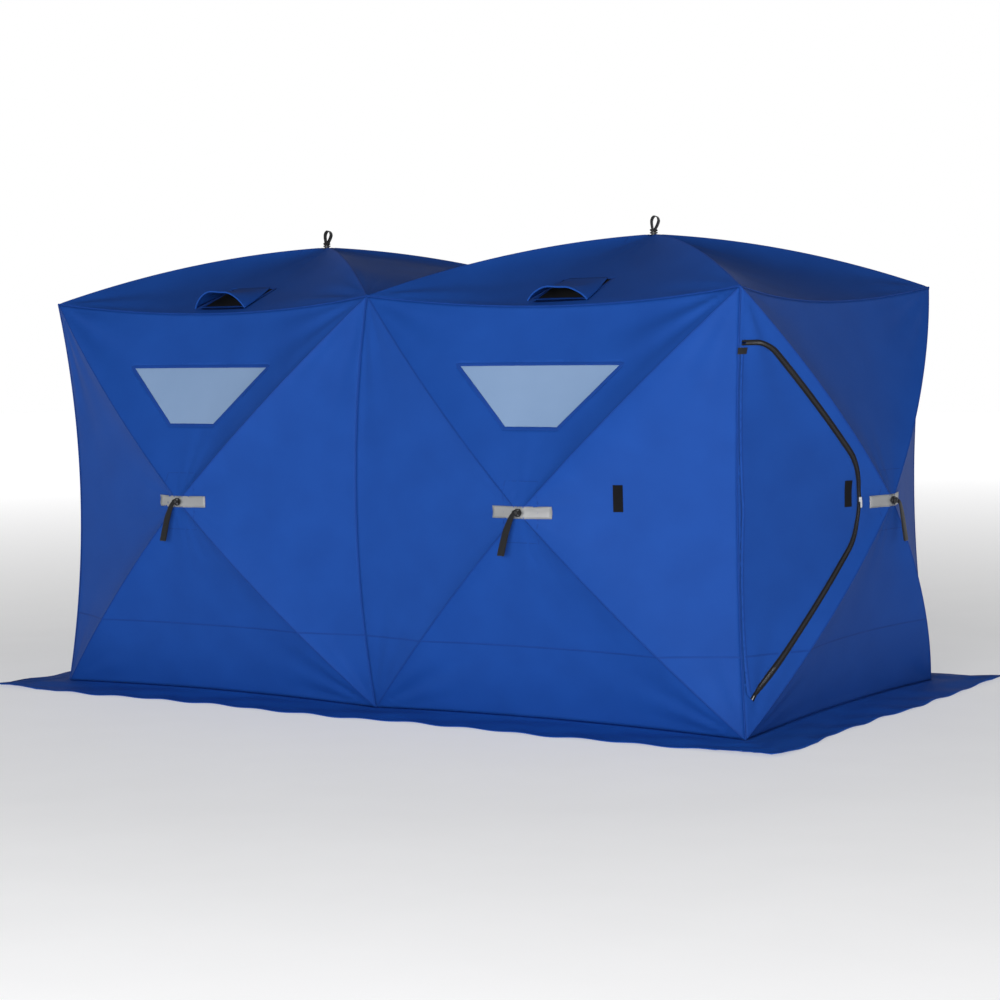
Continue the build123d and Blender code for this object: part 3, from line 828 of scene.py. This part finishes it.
def teeth(name, wall, offset, material):
    """One side's teeth of a zip, as separate small blocks along it."""
    line = zip_line(offset)
    run = np.concatenate([[0], np.cumsum(np.linalg.norm(np.diff(line, axis=0), axis=1))])
    stops = np.arange(0.02, run[-1] - 0.02, TOOTH_PITCH) + (TOOTH_PITCH / 2 if offset > 0 else 0)
    middle = np.stack([np.interp(stops, run, line[:, 0]), np.interp(stops, run, line[:, 1])], axis=1)
    ahead = np.gradient(middle, axis=0)
    ahead /= np.linalg.norm(ahead, axis=1)[:, None]
    side = np.stack([-ahead[:, 1], ahead[:, 0]], axis=1)
    verts, faces = [], []
    corners = [(-1, -1), (1, -1), (1, 1), (-1, 1)]
    layers = [(0.0, 1.0), (0.0018, 1.0), (0.0026, 0.6)]
    rings = []
    for up, grow in layers:
        for a, b in corners:
            flat = middle + ahead * (a * TOOTH_HALF[0] * grow) + side * (b * TOOTH_HALF[1] * grow)
            rings.append(wall.place(flat, 0.0003 + up))
    rings = np.array(rings).transpose(1, 0, 2)
    for i in range(len(middle)):
        first = 12 * i
        for layer in (0, 4):
            for j in range(4):
                a, b = first + layer + j, first + layer + (j + 1) % 4
                faces.append((a, b, b + 4, a + 4))
        faces.append(tuple(first + 8 + j for j in range(4)))
        faces.append(tuple(first + 3 - j for j in range(4)))
    return build(name, rings.reshape(-1, 3), faces, material, flat=True)


def cut_line(line, loop, want):
    """The points of a line that lie inside a loop, or outside it."""
    line = np.asarray(line, float)
    return line[inside(line, loop) == want]


doors = {}
for wall, side in zip(END_WALLS, ("left", "right")):
    loop = door_loop(-ZIP_GAP)
    door = panel(side + "_door_cloth", wall, loop, [], BLUE)
    swing(door, wall)
    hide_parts(side + "_door")
    doors[side] = [door, round(float(loop_area(loop) * slope_of(wall)), 3)]
    thicken(door, CLOTH)
    line = zip_line(ZIP_GAP + TAPE / 2)
    outer = ribbon(side + "_zip_tape_wall", wall, line, TAPE, TAPE_HEIGHT, TAPE_BLACK)
    carry(outer, side + "_door_zip")
    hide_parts(side + "_door_zip")
    line = zip_line(-ZIP_GAP - TAPE / 2.4)
    inner = ribbon(side + "_zip_tape_door", wall, line, TAPE / 1.2, TAPE_HEIGHT, TAPE_BLACK)
    swing(inner, wall)
    carry(teeth(side + "_zip_teeth_wall", wall, 0.0018, TEETH), side + "_door_zip")
    swing(teeth(side + "_zip_teeth_door", wall, -0.0018, TEETH), wall)
    band = cut_line(spread([(-0.9, BAND), (0.0, BAND)], 0.01), door_loop(-TAPE - ZIP_GAP), True)
    seam = ribbon(side + "_door_band_seam", wall, band, *BAND_TAPE, SEAM_BLUE)
    swing(seam, wall)
    hem = np.array([(hinge_x(y) + 0.012, y) for y in np.linspace(DOOR_FOOT + 0.03, DOOR_TOP - 0.03, 80)])
    seam = ribbon(side + "_door_hinge_seam", wall, hem, 0.006, 0.0006, SEAM_BLUE)
    swing(seam, wall)
    patch = ribbon(side + "_door_patch", wall, [(-0.259, -0.012), (-0.259, 0.096)], *HOOK_PATCH, HOOKS)
    swing(patch, wall)
    stop = np.array([(-0.880, 0.637), (-0.836, 0.637)])
    tab = ribbon(side + "_zip_end_tab", wall, stop, 0.026, 0.002, WEBBING, lift=0.001)
    carry(tab, side + "_door_zip")
for side in ("left", "right"):
    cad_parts[side + "_zip_slider"].data.materials[0] = ZINC

front = SIDE_WALLS[1]
patch = ribbon("front_right_wall_patch", front, [(0.395, 0.004), (0.395, 0.112)], *HOOK_PATCH, HOOKS)
add_trim(patch, front)


# Hubs: the CAD's moulding, pins and clamp in their own materials, with a sewn strip and
# webbing in place of the plain ones.
def islands(mesh):
    """The separate solids of a mesh, as (vertices, faces)."""
    verts = np.array([v.co for v in mesh.vertices], float)
    _, first, same = np.unique(np.round(verts, 6), axis=0, return_index=True, return_inverse=True)
    same = same.ravel()
    faces = [[int(same[i]) for i in p.vertices] for p in mesh.polygons]
    parent = list(range(len(first)))

    def root(i):
        while parent[i] != i:
            parent[i] = parent[parent[i]]
            i = parent[i]
        return i

    for face in faces:
        for i in face[1:]:
            parent[root(i)] = root(face[0])
    groups = {}
    for face in faces:
        if len(set(face)) == len(face):
            groups.setdefault(root(face[0]), []).append(face)
    found = []
    for group in groups.values():
        used = sorted({i for face in group for i in face})
        number = {old: new for new, old in enumerate(used)}
        found.append((verts[first[used]], [[number[i] for i in face] for face in group]))
    return found


def rigid_copy(name, solids, material):
    """Some of a hub's own solids, as one piece with its edges kept sharp."""
    verts, faces = [], []
    for points, group in solids:
        faces += [[i + len(verts) for i in face] for face in group]
        verts += list(points)
    piece = build(name, verts, faces, material)
    piece.data.set_sharp_from_angle(angle=math.radians(32))
    return piece


def hub_pieces(wall):
    moulding, pins, clamp = [], [], []
    for points, faces in islands(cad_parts[wall.hub].data):
        away = (points - wall.origin) @ wall.z
        flat = wall.local(points)
        wide = np.ptp(flat[:, 0])
        if away.max() < wall.rise - 0.015:
            (moulding if wide > 0.08 and np.ptp(flat[:, 1]) > 0.08 else pins).append((points, faces))
        elif wide < 0.036 and np.ptp(flat[:, 1]) < 0.036 and away.min() < wall.rise:
            clamp.append((points, faces))
    body = rigid_copy(wall.hub + "_moulding", moulding + clamp, PLASTIC)
    carry(body, wall.hub)
    carry(rigid_copy(wall.hub + "_pins", pins, STEEL), wall.hub)
    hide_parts(wall.hub)


def knot(name, wall, at):
    """A girth hitch of webbing round the hub's stud, seen as two rounded lumps."""
    points = []
    for turn in np.linspace(0, 4 * math.pi, 60):
        sway = 0.0125 * math.cos(turn / 2)
        points.append((sway, 0.0065 * math.sin(turn), 0.006 + 0.0055 * math.cos(turn)))
    points = np.array(points)
    path = at + points[:, :1] * wall.x + points[:, 1:2] * wall.y + points[:, 2:] * wall.z
    return strap(name, path, 0.0105, 0.0034, wall.x * 0.4 + wall.z, WEBBING)


def pull_strap(wall, lean):
    """A loop of webbing that hangs from a wall's hub at a slant."""
    start = wall.origin + wall.z * (wall.rise + 0.012)
    spine = [(0.004, 0.0, 0.004), (0.25, -0.012, 0.012), (0.75, -0.07, 0.009), (1.0, -0.112, 0.007)]
    spine.append((1.25, -0.168, 0.008))
    for layer, (gap, drop) in enumerate(((0.0, 0.0), (0.0045, -0.004))):
        points = [
            start + wall.x * lean * share + wall.y * (y + drop * share) + wall.z * (z + gap * (0.3 + share))
            for share, y, z in spine
        ]
        path = curve(points, 8)
        wide = np.interp(np.linspace(0, 1, len(path)), [0, 0.22, 0.45, 1], [0.014, 0.019, 0.028, 0.031])
        piece = strap(f"{wall.name}_pull_strap_{layer + 1}", path, wide, 0.0019, wall.z, WEBBING)
        carry(piece, wall.hub)
    end = start + wall.x * lean * 1.25 + wall.y * -0.17 + wall.z * 0.0135
    turned = [(-0.0052, 0.004), (-0.0058, -0.001), (-0.0030, -0.0045), (0.0, -0.004), (0.0007, 0.0)]
    path = curve([end + wall.z * dz + wall.y * dy for dz, dy in turned], 6)
    fold = strap(wall.name + "_pull_strap_fold", path, 0.031, 0.0019, wall.y, WEBBING)
    carry(fold, wall.hub)
    carry(knot(wall.name + "_pull_knot", wall, start - wall.z * 0.004), wall.hub)


def roof_loop(wall):
    """A loop of webbing that stands on a roof's hub."""
    start = wall.origin + wall.z * (wall.rise + 0.012)
    shape = [(0.004, 0.0), (0.008, 0.012), (0.017, 0.030), (0.021, 0.048), (0.012, 0.064),
             (-0.003, 0.066), (-0.013, 0.052), (-0.013, 0.034), (-0.008, 0.014), (-0.004, 0.0)]
    path = curve([start + wall.x * x + wall.z * z + wall.y * 0.15 * z for x, z in shape], 6)
    carry(strap(wall.name + "_loop", path, 0.024, 0.002, wall.x, WEBBING), wall.hub)
    carry(knot(wall.name + "_loop_knot", wall, start - wall.z * 0.004), wall.hub)


for wall in ALL_WALLS:
    hub_pieces(wall)
    if wall in ROOFS:
        roof_loop(wall)
        continue
    pull_strap(wall, 0.062 if wall in END_WALLS else -0.058)
    edge = spread(rectangle(*STRIP_HALF), 0.008, closed=True)
    hole = ring((0, 0), HUB_HOLE)
    strip = panel(wall.name + "_strip", wall, edge, [hole], SILVER, lift=0.0022, sharp=False)
    add_trim(strip, wall)
    thicken(strip, 0.001)
    hem = rectangle(STRIP_HALF[0] - 0.004, STRIP_HALF[1] - 0.004)
    name = wall.name + "_strip_stitching"
    stitching = ribbon(name, wall, hem, 0.0016, 0.0006, SILVER, closed=True, lift=0.0024)
    add_trim(stitching, wall)


# Poles, and the pockets that hold their tips in the corners.
def pole_end(wall, k):
    """The tip of pole k and the direction it points, in the shelter's frame."""
    flat = wall.corner(k)
    across = (flat[0] * wall.x + flat[1] * wall.y) / np.hypot(*flat)
    start = np.array([PIN_OUT, wall.rise - PIN_LOW])
    end = np.array([np.hypot(*flat) - TIP_SHORT, TIP_LOW])
    chord = np.hypot(*(end - start))
    drop = math.atan2(*(end - start)[::-1]) - 2 * math.atan(2 * ROD_RISE / chord)
    ahead = across * math.cos(drop) + wall.z * math.sin(drop)
    return wall.origin + across * end[0] + wall.z * end[1], ahead


for wall in ALL_WALLS:
    for k in range(4):
        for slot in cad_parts[f"{wall.name}_pole_{k + 1}"].material_slots:
            slot.material = FIBRE
        tip, ahead = pole_end(wall, k)
        along = np.array([-0.032, -0.030, -0.022, -0.010, 0.002, 0.014, 0.022, 0.0265, 0.0285])
        swell = np.array([1.03, 1.10, 1.02, 1.0, 1.02, 1.0, 0.96, 0.7, 0.25])
        path = tip + along[:, None] * ahead
        sleeve = tube(f"{wall.name}_pocket_{k + 1}", path, POCKET_R * swell, SEAM_BLUE, 14)
        carry(sleeve, "shelter")


# Seams that join the walls: a welt along each shared edge.
def edge_line(wall, k, steps=90):
    s = np.linspace(1, -1, steps)
    flat = wall.side_line(k, steps)
    outwards = wall.sides[k][1]
    points = wall.origin + flat[:, :1] * wall.x + flat[:, 1:2] * wall.y
    return points + (outwards * (1 - s * s))[:, None] * wall.z


def welt(name, path, radius=0.0032):
    carry(tube(name, path, radius, SEAM_BLUE, 8), "shelter")


for wall in SIDE_WALLS + END_WALLS:
    welt(wall.name + "_eave_welt", edge_line(wall, 0))
    welt(wall.name + "_left_welt", edge_line(wall, 1))
    welt(wall.name + "_base_welt", edge_line(wall, 2), 0.004)
welt("valley_welt", edge_line(ROOFS[0], 3))


# Vents: a mesh screen in a sewn frame, and a hood whose lip is stiffened by a wire.
def vent_frame(wall):
    """Origin and axes of a vent's seat."""
    eave = -HALF_DEPTH + EAVE_SIDE[0]
    slope = (wall.rise - EAVE_SIDE[1]) / -eave
    height = wall.rise + VENT_Y * slope + 0.006
    back = np.array([0, math.cos(math.atan(slope)), math.sin(math.atan(slope))])
    up = np.cross(wall.x, back)
    return wall.origin + wall.y * VENT_Y + wall.z * height, back, up


for wall, side, height in zip(ROOFS, ("left", "right"), (0.070, 0.050)):
    seat, back, up = vent_frame(wall)
    xs, ys = (np.linspace(-half, half, count) for half, count in zip(VENT_SEAT_HALF, (26, 24)))
    rows = [
        [seat + wall.x * x + back * y + up * (-0.0015 - 0.004 * math.cos(x * 12.5) * math.cos(y * 13))
         for x in xs]
        for y in ys
    ]
    screen = loft(side + "_vent_mesh", rows, MESH, closed_rows=False)
    carry(screen, side + "_vent_screen")
    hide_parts(side + "_vent_screen")
    thicken(screen, 0.001)
    rim = []
    for x, y in spread(rectangle(*VENT_SEAT_HALF), STEP, closed=True):
        rim.append(seat + wall.x * x + back * y + up * 0.0005)
    binding = strap(side + "_vent_binding", rim + [rim[0]], 0.014, 0.0014, up, SEAM_BLUE)
    carry(binding, side + "_vent_screen")

    # The hood arches up from its sewn back and sides to the wired lip.
    rows, weights = [], []
    for reach in np.linspace(0, 1, 22):
        half = HOOD_HALF - HOOD_NARROW * (1 - reach) ** 1.5
        arch = height * reach**1.25
        row = []
        for u in np.linspace(-1, 1, 33):
            lift = arch * (1 - abs(u) ** 3.4) * (1 - 0.18 * u)
            crease = 0.0014 * math.sin(9 * u + 5 * reach) * reach * (1 - abs(u) ** 4)
            forward = HOOD_REACH * reach * (1 - 0.09 * (1 - u * u))
            row.append(seat + wall.x * half * u + back * (VENT_SEAT_HALF[1] - forward)
                       + up * (0.0035 + lift + crease))
            weights.append(smooth(lift / height))
        rows.append(row)
    hood = loft(side + "_vent_hood_cloth", rows, BLUE, closed_rows=False)
    start = seat + back * VENT_SEAT_HALF[1]
    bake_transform(hood)
    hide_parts(side + "_vent_hood")
    thicken(hood, 0.0014)
    lip_rows = np.array(rows[-1])
    lip = tube(side + "_vent_lip", lip_rows, 0.0042, BLUE, 10)
    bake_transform(lip)


# Ground skirt: a loose border of cloth that lies on the ice.
def skirt_rows():
    inner = []
    for wall in (SIDE_WALLS[0], SIDE_WALLS[1], END_WALLS[1], SIDE_WALLS[3], SIDE_WALLS[2], END_WALLS[0]):
        line = edge_line(wall, 2, 120)
        order = line if (line[1] - line[0]) @ wall.x > 0 else line[::-1]
        inner.append(order[:-1])
    inner = np.concatenate(inner)
    rows = []
    shares = np.linspace(0, 1, 15)
    for i, (x, y, z) in enumerate(inner):
        sign_x, sign_y = math.copysign(1, x), math.copysign(1, y)
        over_x = max(0.0, abs(x) - (BAY - SKIRT_CORNER)) / SKIRT_CORNER
        over_y = max(0.0, abs(y) - (HALF_DEPTH - SKIRT_CORNER)) / SKIRT_CORNER
        on_x_side = abs(abs(x) - BAY) < abs(abs(y) - HALF_DEPTH)
        reach_x = SKIRT_WIDTH * (1 if on_x_side else over_x**1.6) * sign_x
        reach_y = SKIRT_WIDTH * (over_y**1.6 if on_x_side else 1) * sign_y
        along = (x + y) + 3 * on_x_side
        wander = 0.010 * math.sin(5.1 * along + 1) + 0.006 * math.sin(13 * along) - 0.012
        drift_x = wander * sign_x if on_x_side or over_x > 0.5 else 0
        drift_y = wander * sign_y if not on_x_side or over_y > 0.5 else 0
        row = []
        for share in shares:
            px = x + reach_x * share + drift_x * share
            py = y + reach_y * share + drift_y * share
            fall = z * (1 - share) ** 3
            arch = math.sin(math.pi * min(1, share * 1.1)) ** 2
            ripple = 0.0035 * (1 + math.sin(9 * along + 4 * share)) * arch
            ripple += 0.0030 * (1 + math.sin(23 * along - 5 * share)) * share
            ripple += 0.011 * abs(math.sin(31 * along + 9 * share)) * share * (over_x * over_y)
            row.append((px, py, 0.0022 + fall + ripple))
        rows.append(row)
    return rows


skirt = loft("ground_skirt_cloth", skirt_rows(), NAVY, closed_rows=False, closed_path=True)
carry(skirt, "shelter")
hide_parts("ground_skirt")
thicken(skirt, 0.0015, 1.0)

# What each sheet was cut to.
for side in ("left", "right"):
    door, area = doors[side]
